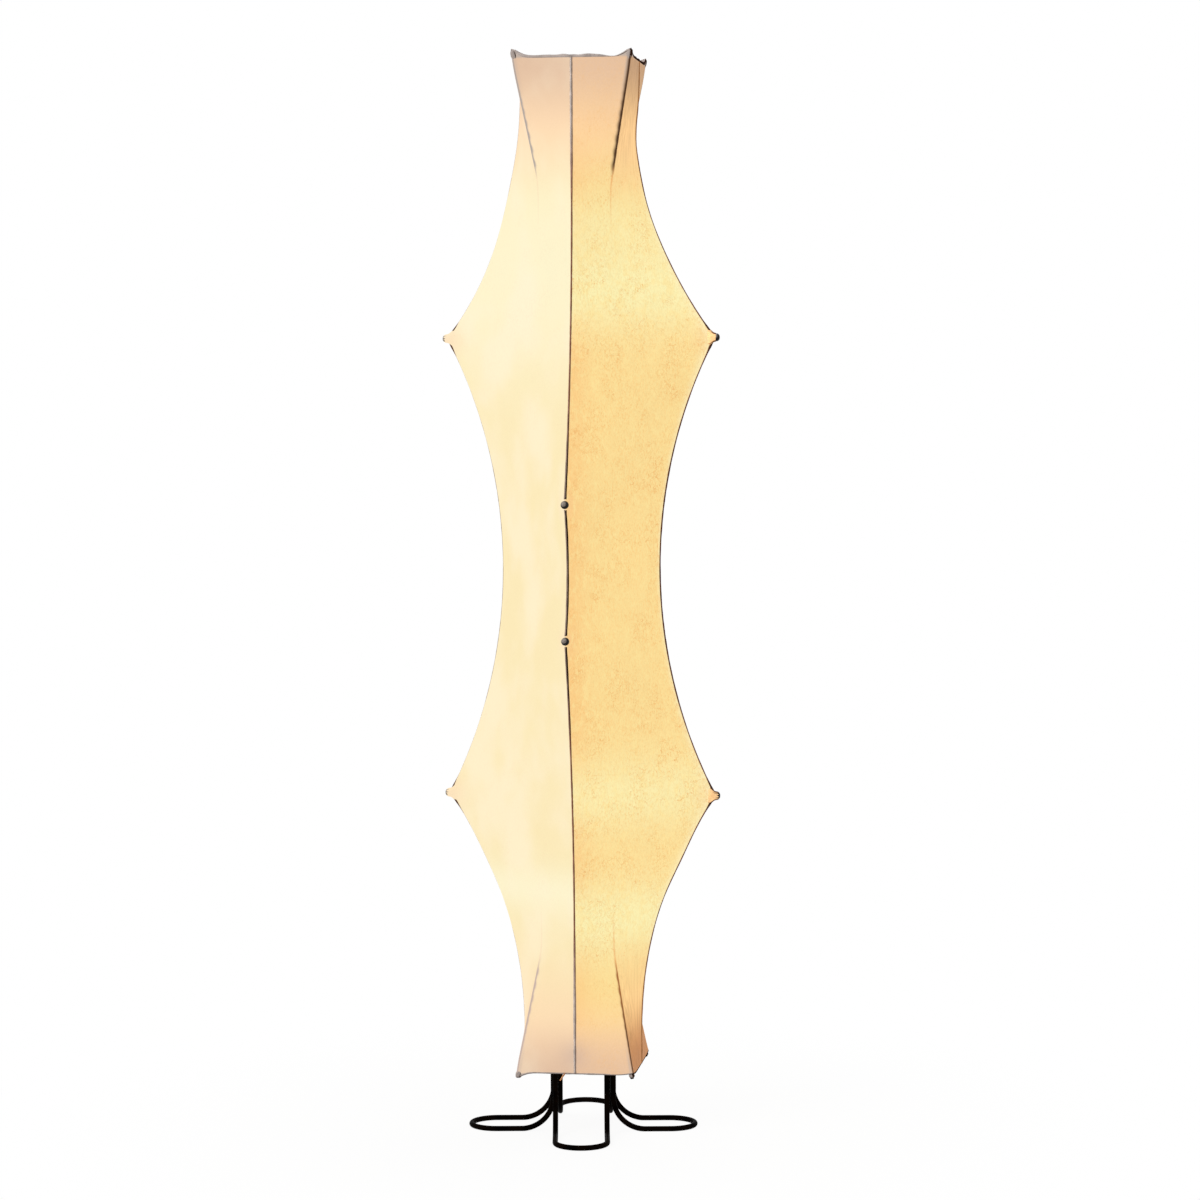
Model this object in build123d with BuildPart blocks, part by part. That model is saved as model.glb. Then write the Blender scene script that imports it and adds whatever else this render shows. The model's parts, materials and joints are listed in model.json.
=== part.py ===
"""A silk floor lamp: a sleeve of four silk panels stretched over cross rods and corner arms on
a column, with two bulbs inside, on four hairpin feet. Millimetres, +Z up, the origin on the
floor under the column, the front of the cover towards -Y."""

import os
from math import cos, hypot, radians, sin, sqrt

from build123d import *

os.makedirs("parts", exist_ok=True)

# Cover: its ridges are the four seams at the front, right, back and left
waist_height = 790.5
rim_rise = 699.5
rim_half = 82.3
silk_thickness = 0.8
piping_radius = 1.9
piping_gap = 0.4
crease_gap = 5.3
panel_fullness = 4.0
panel_hollow = 5.0
hollow_reach = 100.0

# Side ridges, held out by the left and right rods
side_rod_rise = 319.2
side_tip_reach = 187.5
side_waist_reach = 110.0
side_straight_rise = 631.0
side_straight_drop = 650.0

# Front ridges, held out by the front and back rods
front_rod_rise = 92.5
front_tip_reach = 158.0
front_waist_reach = 134.0
front_straight_rise = 519.0

# Ears: the arm ends stand past the rims in small pockets
ear_radius = 4.4
ear_bore_radius = 2.8
top_ear_length = 10.0
bottom_ear_length = 8.0
ear_cap = 1.5
rim_cord_radius = 1.1
rim_cord_lift = 4.5
rim_cord_gap = 0.5
ear_seat_gap = 0.2

# Column and base
column_radius = 8.0
column_wall = 1.5
column_bottom = 100.0
holder_standoff = 12.5
fit_gap = 0.1
base_turn = 8.0
plate_side = 100.0
plate_bottom = 112.0
plate_thickness = 5.0
flange_radius = 23.0
flange_thickness = 4.0
flange_boss_radius = 13.0
flange_height = 20.0
flange_screw_circle = 18.0
screw_radius = 2.0
screw_head_radius = 3.5
screw_head_height = 2.5

# Feet: one bent bar each
foot_bar_radius = 3.75
foot_flat = 0.4
foot_reach = 161.3
foot_half_width = 36.0
foot_post_reach = 42.0
foot_bend_radius = 45.0
foot_side_shift = 3.0

# Hubs, rods and arms
hub_radius = 20.0
hub_height = 24.0
rod_radius = 3.0
rod_socket_start = 10.0
rod_end_radius = 2.0
rod_end_length = 6.5
arm_radius = 2.5
arm_hub_reach = 14.0
arm_socket_depth = 9.0
set_screw_turn = 22.5
set_screw_drop = 6.0

# Eyelets and knobs on the rod ends
eyelet_radius = 5.0
eyelet_thickness = 1.6
eyelet_gap = 0.3
knob_radius = 5.5
knob_length = 6.5
knob_rim = 2.0
knob_bore_depth = 5.6
knob_seat_gap = 0.6
knob_bore_gap = 0.1

# Lampholders and bulbs
holder_radius = 19.0
holder_neck_wall = 4.0
holder_neck_length = 14.0
holder_floor = 12.0
holder_depth = 26.0
holder_lead_radius = 5.2
cap_radius = 13.0
cap_length = 24.0
cap_gap = 0.5
bulb_radius = 27.5
bulb_neck_radius = 12.8
bulb_centre_rise = 71.5
glass_wall = 1.0

# Side bracket of the lower lampholder
bracket_clearance = 95.0
bracket_offset = 44.0
bracket_radius = 5.0
bracket_bore_radius = 3.6
bracket_bend = 14.0
bracket_rise = 30.0
bracket_clamp_radius = 13.0
bracket_root = 3.0
bracket_clamp_height = 16.0

# Inner leads and the inlet for the mains cord
lead_radius = 2.2
lead_offset = 2.4
lead_bend = 6.0
splice_radius = 5.5
splice_bottom = 118.0
splice_length = 20.0
gland_bore_radius = 3.6
gland_flange_radius = 9.5
gland_flange_height = 4.0
gland_neck_length = 12.0

QUARTERS = {
    "front_left": (-1, -1),
    "front_right": (1, -1),
    "back_right": (1, 1),
    "back_left": (-1, 1),
}
SIDES = {"front": -90.0, "right": 0.0, "back": 90.0, "left": 180.0}


def keep(part, label):
    """Names a finished piece and writes it."""
    part.label = label
    export_step(part, f"parts/{label}.step")
    print(f"{label}: {len(part.solids())} solids, {part.volume:.0f} mm3")


def bow_radius(half_length, rise):
    """The radius of an arc that rises by rise over half_length, starting level."""
    return (half_length**2 + rise**2) / (2 * rise)


def ridge_reach(height, tip_rise, tip_reach, waist_reach, straight_rise):
    """How far a ridge seam stands from the axis: an arc round the waist, an arc from each tip
    towards the rim, and a straight end."""
    rise = abs(height - waist_height)
    if rise >= straight_rise:
        return rim_half
    if rise >= tip_rise:
        radius = bow_radius(straight_rise - tip_rise, tip_reach - rim_half)
        return rim_half + radius - sqrt(radius**2 - (straight_rise - rise) ** 2)
    radius = bow_radius(tip_rise, tip_reach - waist_reach)
    return waist_reach + radius - sqrt(radius**2 - rise**2)


def side_reach(height):
    straight = side_straight_rise if height > waist_height else side_straight_drop
    return ridge_reach(height, side_rod_rise, side_tip_reach, side_waist_reach, straight)


def front_reach(height):
    return ridge_reach(
        height, front_rod_rise, front_tip_reach, front_waist_reach, front_straight_rise
    )


top_rim = waist_height + rim_rise
bottom_rim = waist_height - rim_rise
side_hubs = {
    "upper": waist_height + side_rod_rise,
    "lower": waist_height - side_rod_rise,
}
front_hubs = {
    "upper": waist_height + front_rod_rise,
    "lower": waist_height - front_rod_rise,
}
ear_reach = rim_half * sqrt(2) - crease_gap
column_top = side_hubs["upper"] + hub_height / 2 + holder_standoff + holder_neck_length
bracket_height = plate_bottom + plate_thickness + flange_height + bracket_clearance


def arm_reach(height):
    """How far the centre of a corner arm is from the axis at a height above or below the
    hubs. Each arm runs straight from its hub's end face to the rim."""
    if height > waist_height:
        hub_face, rim = side_hubs["upper"] + hub_height / 2, top_rim
    else:
        hub_face, rim = side_hubs["lower"] - hub_height / 2, bottom_rim
    share = (height - hub_face) / (rim - hub_face)
    return arm_hub_reach + share * (ear_reach - arm_hub_reach)


def taut_reach(height):
    """How far silk that is taut from ridge to ridge stands from the axis along the diagonal:
    a little full, and drawn in level with the side rods."""
    side, front = side_reach(height), front_reach(height)
    from_tip = abs(abs(height - waist_height) - side_rod_rise)
    drawn_in = max(0, 1 - from_tip / hollow_reach) ** 2
    bow = panel_fullness - (panel_fullness + panel_hollow) * drawn_in
    return sqrt(2) * side * front / (side + front) + bow


def crease_reach(height):
    """Near a rim the crease lies over the arm, and elsewhere the silk is taut."""
    return max(taut_reach(height), arm_reach(height) + crease_gap)


def leaving_height(hub, rim):
    """The height between a side hub and a rim at which the silk leaves the corner arm."""
    taut_end, arm_end = hub, rim
    for _ in range(30):
        middle = (taut_end + arm_end) / 2
        if taut_reach(middle) > arm_reach(middle) + crease_gap:
            taut_end = middle
        else:
            arm_end = middle
    return arm_end


def panel_outline(height, sign_x, sign_y):
    """The section of one panel: from beside one ridge's piping to beside the other's, with a
    corner at the crease, and back along the inner face."""
    crease = crease_reach(height) / sqrt(2)
    side, front = side_reach(height), front_reach(height)
    edge = piping_radius + piping_gap
    along_side = (crease - side, crease)
    along_front = (crease, crease - front)
    side_length, front_length = hypot(*along_side), hypot(*along_front)
    side_end = (
        side + edge * along_side[0] / side_length,
        edge * along_side[1] / side_length,
    )
    front_end = (
        edge * along_front[0] / front_length,
        front + edge * along_front[1] / front_length,
    )
    side_normal = (-along_side[1] / side_length, along_side[0] / side_length)
    front_normal = (along_front[1] / front_length, -along_front[0] / front_length)
    mitre = silk_thickness / (
        1 + side_normal[0] * front_normal[0] + side_normal[1] * front_normal[1]
    )
    outline = [
        side_end,
        (crease, crease),
        front_end,
        (
            front_end[0] + silk_thickness * front_normal[0],
            front_end[1] + silk_thickness * front_normal[1],
        ),
        (
            crease + mitre * (side_normal[0] + front_normal[0]),
            crease + mitre * (side_normal[1] + front_normal[1]),
        ),
        (
            side_end[0] + silk_thickness * side_normal[0],
            side_end[1] + silk_thickness * side_normal[1],
        ),
    ]
    return [(sign_x * x, sign_y * y) for x, y in outline]


def spaced(low, high, count):
    """Heights from low to high, count of them, ends included."""
    return [low + (high - low) * i / (count - 1) for i in range(count)]


# The silk panels, in stretches that meet where the rods push the ridges out and where the
# crease leaves the arm
top_leaving = leaving_height(side_hubs["upper"], top_rim)
bottom_leaving = leaving_height(side_hubs["lower"], bottom_rim)
stretches = [
    spaced(bottom_rim, bottom_leaving, 5),
    spaced(bottom_leaving, side_hubs["lower"], 6),
    spaced(side_hubs["lower"], front_hubs["lower"], 5),
    spaced(front_hubs["lower"], front_hubs["upper"], 5),
    spaced(front_hubs["upper"], side_hubs["upper"], 5),
    spaced(side_hubs["upper"], top_leaving, 6),
    spaced(top_leaving, top_rim, 5),
]
for quarter, (sign_x, sign_y) in QUARTERS.items():
    with BuildPart() as panel:
        for heights in stretches:
            for height in heights:
                with BuildSketch(Plane.XY.offset(height)):
                    with BuildLine():
                        Polyline(*panel_outline(height, sign_x, sign_y), close=True)
                    make_face()
            loft()
        for height in side_hubs.values():
            with BuildSketch(Plane((0, 0, height), z_dir=(sign_x, 0, 0))):
                Circle(eyelet_radius + eyelet_gap)
            extrude(amount=side_tip_reach, mode=Mode.SUBTRACT)
        for height in front_hubs.values():
            with BuildSketch(Plane((0, 0, height), z_dir=(0, sign_y, 0))):
                Circle(eyelet_radius + eyelet_gap)
            extrude(amount=front_tip_reach, mode=Mode.SUBTRACT)
    keep(panel.part, f"{quarter}_panel")

# Ridge piping, in three lengths that stop short of the eyelets
for side, turn in SIDES.items():
    on_side = side in ("left", "right")
    reach_at = side_reach if on_side else front_reach
    rods = side_hubs if on_side else front_hubs
    straight_rise = side_straight_rise if on_side else front_straight_rise
    straight_drop = side_straight_drop if on_side else front_straight_rise
    clear = eyelet_radius + eyelet_gap + piping_radius
    out = Vector(cos(radians(turn)), sin(radians(turn)), 0)

    def ridge_point(height):
        return out * reach_at(height) + Vector(0, 0, height)

    def ridge_arc(start, end):
        return ThreePointArc(
            ridge_point(start), ridge_point((start + end) / 2), ridge_point(end)
        )

    low, high = rods["lower"], rods["upper"]
    low_straight, high_straight = waist_height - straight_drop, waist_height + straight_rise
    with BuildPart() as piping:
        with BuildLine() as low_run:
            Line(ridge_point(bottom_rim), ridge_point(low_straight))
            ridge_arc(low_straight, low - clear)
        with BuildSketch(Plane(low_run.line @ 0, z_dir=low_run.line % 0)):
            Circle(piping_radius)
        sweep(path=low_run.line)
        with BuildLine() as waist_run:
            ridge_arc(low + clear, high - clear)
        with BuildSketch(Plane(waist_run.line @ 0, z_dir=waist_run.line % 0)):
            Circle(piping_radius)
        sweep(path=waist_run.line)
        with BuildLine() as high_run:
            ridge_arc(high + clear, high_straight)
            Line(ridge_point(high_straight), ridge_point(top_rim))
        with BuildSketch(Plane(high_run.line @ 0, z_dir=high_run.line % 0)):
            Circle(piping_radius)
        sweep(path=high_run.line)
    keep(piping.part, f"{side}_piping")


def arm_point(height, sign_x, sign_y):
    reach = arm_reach(height) / sqrt(2)
    return Vector(sign_x * reach, sign_y * reach, height)


# Corner arms, straight from the side hubs to the four corners of each rim
arm_ends = {
    "upper": (
        side_hubs["upper"] + hub_height / 2 - arm_socket_depth,
        top_rim + top_ear_length - ear_cap - fit_gap,
    ),
    "lower": (
        side_hubs["lower"] - hub_height / 2 + arm_socket_depth,
        bottom_rim - bottom_ear_length + ear_cap + fit_gap,
    ),
}
for level, (hub_end, ear_end) in arm_ends.items():
    for quarter, (sign_x, sign_y) in QUARTERS.items():
        root = arm_point(hub_end, sign_x, sign_y)
        tip = arm_point(ear_end, sign_x, sign_y)
        with BuildPart() as arm:
            with BuildSketch(Plane(root, z_dir=tip - root)):
                Circle(arm_radius)
            extrude(amount=(tip - root).length)
            tip_edges = arm.edges().sort_by(Axis.Z)
            fillet(tip_edges[-1 if level == "upper" else 0], radius=arm_radius / 2)
        keep(arm.part, f"{level}_{quarter}_arm")

# Pockets over the arm ends, cut off level just past the rims
for level, rim, length, away in (
    ("top", top_rim, top_ear_length, 1),
    ("bottom", bottom_rim, bottom_ear_length, -1),
):
    with BuildPart() as pockets:
        for sign_x, sign_y in QUARTERS.values():
            root = arm_point(rim, sign_x, sign_y)
            end = arm_point(rim + away * length, sign_x, sign_y)
            with BuildSketch(Plane(root, z_dir=root - end)):
                Circle(ear_radius)
            extrude(amount=ear_radius)
            with BuildSketch(Plane(root, z_dir=end - root)):
                Circle(ear_radius)
            extrude(amount=(end - root).length)
        tips = pockets.edges().filter_by(GeomType.CIRCLE).sort_by(Axis.Z)
        fillet(tips[-4:] if away > 0 else tips[:4], radius=ear_cap)
        for sign_x, sign_y in QUARTERS.values():
            root = arm_point(rim - away * ear_radius, sign_x, sign_y)
            cap = arm_point(rim + away * (length - ear_cap), sign_x, sign_y)
            with BuildSketch(Plane(root, z_dir=cap - root)):
                Circle(ear_bore_radius)
            extrude(amount=(cap - root).length, mode=Mode.SUBTRACT)
        rim_plane = Plane.XY.offset(rim + away * ear_seat_gap)
        split(bisect_by=rim_plane, keep=Keep.TOP if away > 0 else Keep.BOTTOM)
    keep(pockets.part, f"{level}_corner_pockets")

# Rim cords, straight from pocket to pocket
for level, rim, lift in (
    ("top", top_rim, rim_cord_lift),
    ("bottom", bottom_rim, -rim_cord_lift),
):
    line_reach = arm_reach(rim + lift) / sqrt(2)
    run = 2 * (line_reach - ear_radius - rim_cord_gap)
    with BuildPart() as rim_cord:
        for turn in SIDES.values():
            out = Vector(cos(radians(turn)), sin(radians(turn)), 0)
            along = Vector(-out.Y, out.X, 0)
            start = out * line_reach - along * (run / 2) + Vector(0, 0, rim + lift)
            with BuildSketch(Plane(start, z_dir=along)):
                Circle(rim_cord_radius)
            extrude(amount=run)
    keep(rim_cord.part, f"{level}_rim_cord")

# Hubs, clamped round the column, each bored for its two rods, with screws on the diagonal
for level in ("upper", "lower"):
    for kind, hubs, axis in (("side", side_hubs, (1, 0, 0)), ("front", front_hubs, (0, 1, 0))):
        height = hubs[level]
        with BuildPart() as hub:
            with BuildSketch(Plane.XY.offset(height - hub_height / 2)):
                Circle(hub_radius)
                Circle(column_radius + fit_gap, mode=Mode.SUBTRACT)
            extrude(amount=hub_height)
            chamfer(hub.edges().filter_by(GeomType.CIRCLE).sort_by(SortBy.LENGTH)[-2:], 1)
            for way in (1, -1):
                socket = Plane(
                    Vector(*axis) * way * (rod_socket_start - fit_gap) + Vector(0, 0, height),
                    z_dir=Vector(*axis) * way,
                )
                with BuildSketch(socket):
                    Circle(rod_radius + fit_gap)
                extrude(amount=hub_radius, mode=Mode.SUBTRACT)
            if kind == "side":
                hub_end, ear_end = arm_ends[level]
                for sign_x, sign_y in QUARTERS.values():
                    root = arm_point(hub_end, sign_x, sign_y)
                    tip = arm_point(ear_end, sign_x, sign_y)
                    with BuildSketch(Plane(root, z_dir=tip - root)):
                        Circle(arm_radius + fit_gap)
                    extrude(amount=hub_height, mode=Mode.SUBTRACT)
            screw_way = Vector(cos(radians(set_screw_turn)), sin(radians(set_screw_turn)), 0)
            screw_height = height - set_screw_drop if level == "upper" else height + set_screw_drop
            with BuildSketch(Plane((0, 0, screw_height), z_dir=screw_way)):
                Circle(screw_radius + fit_gap)
            extrude(amount=hub_radius + screw_radius, mode=Mode.SUBTRACT)
        keep(hub.part, f"{level}_{kind}_hub")

with BuildPart() as set_screws:
    for hubs in (side_hubs, front_hubs):
        for level, height in hubs.items():
            drop = -set_screw_drop if level == "upper" else set_screw_drop
            screw_way = Vector(cos(radians(set_screw_turn)), sin(radians(set_screw_turn)), 0)
            start = screw_way * (column_radius + fit_gap) + Vector(0, 0, height + drop)
            with BuildSketch(Plane(start, z_dir=screw_way)):
                Circle(screw_radius)
            extrude(amount=hub_radius - column_radius)
keep(set_screws.part, "hub_set_screws")

# Cross rods, two in each hub, with a thin threaded end past a shoulder
for kind, hubs, tip_reach, ways in (
    ("side", side_hubs, side_tip_reach, ((1, 0, 0), (-1, 0, 0))),
    ("front", front_hubs, front_tip_reach, ((0, -1, 0), (0, 1, 0))),
):
    shoulder = tip_reach - eyelet_thickness
    for level, height in hubs.items():
        with BuildPart() as rods:
            for way in ways:
                start = Vector(*way) * rod_socket_start + Vector(0, 0, height)
                with BuildSketch(Plane(start, z_dir=way)):
                    Circle(rod_radius)
                extrude(amount=shoulder - rod_socket_start)
                with BuildSketch(Plane(Vector(*way) * shoulder + Vector(0, 0, height), z_dir=way)):
                    Circle(rod_end_radius)
                extrude(amount=rod_end_length)
        keep(rods.part, f"{level}_{kind}_rods")

# Eyelets in the seams, seated on the rods' shoulders
rod_ends = [
    (side, level, Vector(cos(radians(turn)), sin(radians(turn)), 0), hubs[level], reach)
    for side, turn in SIDES.items()
    for hubs, reach in (
        [(side_hubs, side_tip_reach)]
        if side in ("left", "right")
        else [(front_hubs, front_tip_reach)]
    )
    for level in ("upper", "lower")
]
with BuildPart() as eyelets:
    for side, level, way, height, reach in rod_ends:
        seat = way * (reach - eyelet_thickness) + Vector(0, 0, height)
        with BuildSketch(Plane(seat, z_dir=way)):
            Circle(eyelet_radius)
            Circle(rod_end_radius + fit_gap, mode=Mode.SUBTRACT)
        extrude(amount=eyelet_thickness)
keep(eyelets.part, "seam_eyelets")

# Knobs: domed nuts screwed on the rod ends
for side, level, way, height, reach in rod_ends:
    foot = way * (reach + knob_seat_gap) + Vector(0, 0, height)
    with BuildPart() as knob:
        with BuildSketch(Plane(foot, z_dir=way)):
            Circle(knob_radius)
        extrude(amount=knob_length)
        outer = knob.edges().filter_by(GeomType.CIRCLE)
        top_edge = max(outer, key=lambda edge: edge.arc_center.dot(way))
        fillet(top_edge, radius=knob_length - knob_rim)
        with BuildSketch(Plane(foot, z_dir=way)):
            Circle(rod_end_radius + knob_bore_gap)
        extrude(amount=knob_bore_depth, mode=Mode.SUBTRACT)
    keep(knob.part, f"{side}_{level}_knob")

# Column
with BuildPart() as column:
    with BuildSketch(Plane.XY.offset(column_bottom)):
        Circle(column_radius)
        Circle(column_radius - column_wall, mode=Mode.SUBTRACT)
    extrude(amount=column_top - column_bottom)
    with BuildSketch(Plane((0, 0, bracket_height), z_dir=(0, 1, 0))):
        Circle(bracket_bore_radius)
    extrude(amount=column_radius + column_wall, mode=Mode.SUBTRACT)
keep(column.part, "column_tube")

plate_top = plate_bottom + plate_thickness
base_plane = Plane.XY.rotated((0, 0, base_turn))

with BuildPart() as base_plate:
    with BuildSketch(base_plane.offset(plate_bottom)):
        Rectangle(plate_side, plate_side)
        fillet(vertices(), radius=foot_bar_radius)
        Circle(column_radius + fit_gap, mode=Mode.SUBTRACT)
        with PolarLocations(flange_screw_circle, 4, start_angle=45):
            Circle(screw_radius + fit_gap, mode=Mode.SUBTRACT)
    extrude(amount=plate_thickness)
keep(base_plate.part, "base_plate")

with BuildPart() as flange:
    with BuildSketch(base_plane.offset(plate_top)):
        Circle(flange_radius)
    extrude(amount=flange_thickness)
    with BuildSketch(base_plane.offset(plate_top)):
        Circle(flange_boss_radius)
    extrude(amount=flange_height)
    with BuildSketch(base_plane.offset(plate_top)):
        Circle(column_radius + fit_gap)
        with PolarLocations(flange_screw_circle, 4, start_angle=45):
            Circle(screw_radius + fit_gap)
    extrude(amount=flange_height, mode=Mode.SUBTRACT)
keep(flange.part, "column_flange")

with BuildPart() as flange_screws:
    with BuildSketch(base_plane.offset(plate_bottom)):
        with PolarLocations(flange_screw_circle, 4, start_angle=45):
            Circle(screw_radius)
    extrude(amount=plate_thickness + flange_thickness)
    with BuildSketch(base_plane.offset(plate_top + flange_thickness)):
        with PolarLocations(flange_screw_circle, 4, start_angle=45):
            Circle(screw_head_radius)
    extrude(amount=screw_head_height)
keep(flange_screws.part, "flange_screws")


def foot_point(turn, out, sideways, height):
    angle = radians(turn)
    return Vector(
        out * cos(angle) - sideways * sin(angle),
        out * sin(angle) + sideways * cos(angle),
        height,
    )


# Hairpin feet: down from the plate, round a bend, out, and back through a half circle
bar_height = foot_bar_radius - foot_flat
loop_centre = foot_reach - foot_bar_radius - foot_half_width
bend_mid = foot_bend_radius * (1 - sqrt(0.5))
bend_end = foot_post_reach + foot_bend_radius
for side, side_turn in SIDES.items():
    turn = side_turn + base_turn

    def at(out, sideways, height):
        return foot_point(turn, out, sideways - foot_side_shift, height)

    with BuildPart() as foot:
        with BuildLine() as bar:
            for way in (-1, 1):
                edge = way * foot_half_width
                top = at(foot_post_reach, edge, plate_bottom)
                bend_start = at(foot_post_reach, edge, bar_height + foot_bend_radius)
                bend_middle = at(foot_post_reach + bend_mid, edge, bar_height + bend_mid)
                bend_foot = at(bend_end, edge, bar_height)
                Line(top, bend_start)
                ThreePointArc(bend_start, bend_middle, bend_foot)
                Line(bend_foot, at(loop_centre, edge, bar_height))
            ThreePointArc(
                at(loop_centre, -foot_half_width, bar_height),
                at(loop_centre + foot_half_width, 0, bar_height),
                at(loop_centre, foot_half_width, bar_height),
            )
        post_top = at(foot_post_reach, -foot_half_width, plate_bottom)
        with BuildSketch(Plane(post_top, z_dir=(0, 0, -1))):
            Circle(foot_bar_radius)
        sweep(path=bar.wire())
        split(bisect_by=Plane.XY, keep=Keep.TOP)
    keep(foot.part, f"{side}_foot")

# Bracket that carries the lower lampholder beside the column
with BuildPart() as bracket:
    with BuildLine() as bracket_path:
        Line(
            (0, bracket_clamp_radius - bracket_root, bracket_height),
            (0, bracket_offset - bracket_bend, bracket_height),
        )
        ThreePointArc(
            (0, bracket_offset - bracket_bend, bracket_height),
            (
                0,
                bracket_offset - bracket_bend * (1 - sqrt(0.5)),
                bracket_height + bracket_bend * (1 - sqrt(0.5)),
            ),
            (0, bracket_offset, bracket_height + bracket_bend),
        )
        Line(
            (0, bracket_offset, bracket_height + bracket_bend),
            (0, bracket_offset, bracket_height + bracket_rise),
        )
    with BuildSketch(Plane(bracket_path.line @ 0, z_dir=(0, 1, 0))):
        Circle(bracket_radius)
    sweep(path=bracket_path.wire())
    with BuildSketch(Plane.XY.offset(bracket_height - bracket_clamp_height / 2)):
        Circle(bracket_clamp_radius)
        Circle(column_radius + fit_gap, mode=Mode.SUBTRACT)
    extrude(amount=bracket_clamp_height)
    with BuildSketch(Plane((0, 0, bracket_height), z_dir=(0, 1, 0))):
        Circle(bracket_bore_radius)
    extrude(amount=bracket_clamp_radius, mode=Mode.SUBTRACT)
    with BuildSketch(Plane(bracket_path.line @ 0, z_dir=(0, 1, 0))):
        Circle(bracket_bore_radius)
    sweep(path=bracket_path.wire(), mode=Mode.SUBTRACT)
keep(bracket.part, "lower_holder_bracket")

# Lampholders: a neck over the tube that carries them, a floor and an open cup
holders = {
    "upper": (0.0, column_top - holder_neck_length, column_radius),
    "lower": (
        bracket_offset,
        bracket_height + bracket_rise - holder_neck_length,
        bracket_radius,
    ),
}
for level, (offset_y, foot_height, tube_radius) in holders.items():
    floor_bottom = foot_height + holder_neck_length + fit_gap
    floor_top = floor_bottom + holder_floor
    rim_height = floor_top + holder_depth
    neck = tube_radius + holder_neck_wall
    with BuildPart() as holder:
        with BuildSketch(Plane((0, offset_y, 0), x_dir=(1, 0, 0), z_dir=(0, -1, 0))):
            with BuildLine():
                Polyline(
                    (tube_radius + fit_gap, foot_height),
                    (neck, foot_height),
                    (neck, floor_bottom),
                    (holder_radius, floor_bottom + holder_radius - neck),
                    (holder_radius, rim_height),
                    (cap_radius + cap_gap, rim_height),
                    (cap_radius + cap_gap, floor_top),
                    (holder_lead_radius, floor_top),
                    (holder_lead_radius, floor_bottom),
                    (tube_radius + fit_gap, floor_bottom),
                    close=True,
                )
            make_face()
        revolve(axis=Axis((0, offset_y, 0), (0, 0, 1)))
    keep(holder.part, f"{level}_lampholder")

    cap_bottom = floor_top + cap_gap
    cap_top = cap_bottom + cap_length
    with BuildPart() as bulb_cap:
        with BuildSketch(Plane((0, offset_y, cap_bottom))):
            Circle(cap_radius)
        extrude(amount=cap_length)
        chamfer(bulb_cap.edges().filter_by(GeomType.CIRCLE).sort_by(Axis.Z)[0], cap_radius / 3)
    keep(bulb_cap.part, f"{level}_bulb_cap")

    centre = cap_bottom + bulb_centre_rise
    inner = bulb_radius - glass_wall
    neck_rise = centre - bulb_radius * sqrt(0.5)
    waist_point = bulb_radius * sqrt(0.5)
    inner_waist = inner * sqrt(0.5)
    with BuildPart() as glass:
        with BuildSketch(Plane((0, offset_y, 0), x_dir=(1, 0, 0), z_dir=(0, -1, 0))):
            with BuildLine():
                Line((bulb_neck_radius - glass_wall, cap_top), (bulb_neck_radius, cap_top))
                Line((bulb_neck_radius, cap_top), (waist_point, neck_rise))
                ThreePointArc(
                    (waist_point, neck_rise), (bulb_radius, centre), (waist_point, centre + waist_point)
                )
                ThreePointArc(
                    (waist_point, centre + waist_point),
                    (bulb_radius * sin(radians(22.5)), centre + bulb_radius * cos(radians(22.5))),
                    (0, centre + bulb_radius),
                )
                Line((0, centre + bulb_radius), (0, centre + inner))
                ThreePointArc(
                    (0, centre + inner),
                    (inner * sin(radians(22.5)), centre + inner * cos(radians(22.5))),
                    (inner_waist, centre + inner_waist),
                )
                ThreePointArc(
                    (inner_waist, centre + inner_waist),
                    (inner, centre),
                    (inner_waist, centre - inner_waist),
                )
                Line((inner_waist, centre - inner_waist), (bulb_neck_radius - glass_wall, cap_top))
            make_face()
        revolve(axis=Axis((0, offset_y, 0), (0, 0, 1)))
    keep(glass.part, f"{level}_bulb_glass")

# Inner leads, from the splice in the column's foot to each lampholder
lead_start = splice_bottom + splice_length
upper_floor = column_top + fit_gap + holder_floor / 2
with BuildPart() as upper_lead:
    with BuildSketch(Plane((0, -lead_offset, lead_start))):
        Circle(lead_radius)
    extrude(amount=upper_floor - lead_start)
keep(upper_lead.part, "upper_lead")

with BuildPart() as lower_lead:
    with BuildLine() as lead_path:
        Line((0, lead_offset, lead_start), (0, lead_offset, bracket_height - lead_bend))
        ThreePointArc(
            (0, lead_offset, bracket_height - lead_bend),
            (
                0,
                lead_offset + lead_bend * (1 - sqrt(0.5)),
                bracket_height - lead_bend * (1 - sqrt(0.5)),
            ),
            (0, lead_offset + lead_bend, bracket_height),
        )
        Line(
            (0, lead_offset + lead_bend, bracket_height),
            (0, bracket_offset - bracket_bend, bracket_height),
        )
        ThreePointArc(
            (0, bracket_offset - bracket_bend, bracket_height),
            (
                0,
                bracket_offset - bracket_bend * (1 - sqrt(0.5)),
                bracket_height + bracket_bend * (1 - sqrt(0.5)),
            ),
            (0, bracket_offset, bracket_height + bracket_bend),
        )
        Line(
            (0, bracket_offset, bracket_height + bracket_bend),
            (0, bracket_offset, bracket_height + bracket_rise + holder_floor / 2),
        )
    with BuildSketch(Plane((0, lead_offset, lead_start))):
        Circle(lead_radius)
    sweep(path=lead_path.wire())
keep(lower_lead.part, "lower_lead")

with BuildPart() as splice:
    with BuildSketch(Plane.XY.offset(splice_bottom)):
        Circle(splice_radius)
    extrude(amount=splice_length)
keep(splice.part, "lead_splice")

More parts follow.
